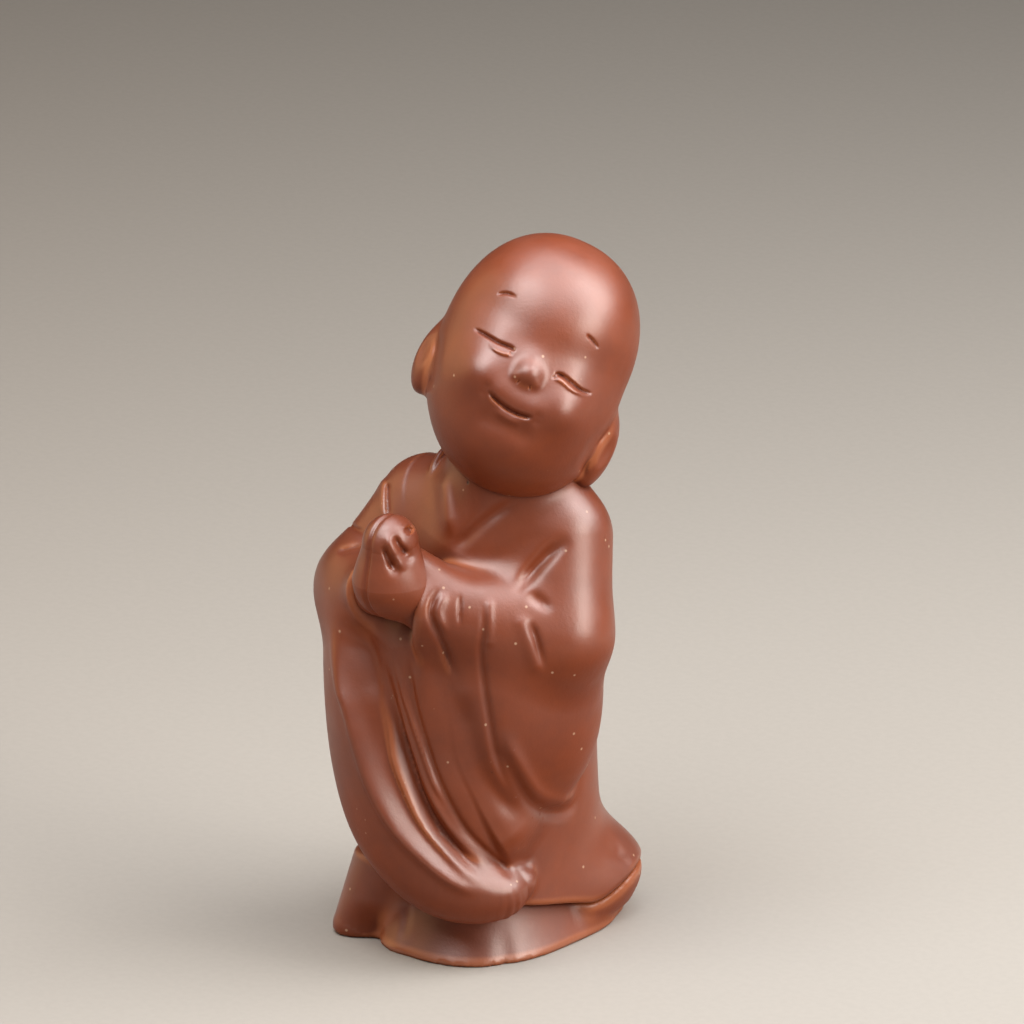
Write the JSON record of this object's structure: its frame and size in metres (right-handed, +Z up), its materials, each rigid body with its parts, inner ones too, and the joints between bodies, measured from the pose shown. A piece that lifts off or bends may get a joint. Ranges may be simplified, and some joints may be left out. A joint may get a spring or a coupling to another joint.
{
  "type": "monk figurine",
  "caption": "Standing shaven-headed novice monk with a tilted smiling head, palms pressed together, long draped sleeves and a hollow robe open at the foot.",
  "frame": {"origin": "centre of the figure's footprint box, on the surface that the foot ring stands on", "axes": "+Z up to the crown, -Y the way the robe and the joined hands face, +X the monk's own left"},
  "size_m": [0.042, 0.0462, 0.0967],
  "materials": {
    "purple_clay": "unglazed, fine-grained, satin from burnishing and tea"
  },
  "bodies": {
    "root": {"under_robe": "purple_clay", "robe_front": "purple_clay", "robe_back": "purple_clay", "left_sleeve": "purple_clay", "right_sleeve": "purple_clay", "neck_tube": "purple_clay", "collar_right": "purple_clay", "collar_left": "purple_clay", "left_hand": "purple_clay", "right_hand": "purple_clay", "head_front": "purple_clay", "head_back": "purple_clay", "ear_left": "purple_clay", "ear_right": "purple_clay"}
  },
  "joints": []
}
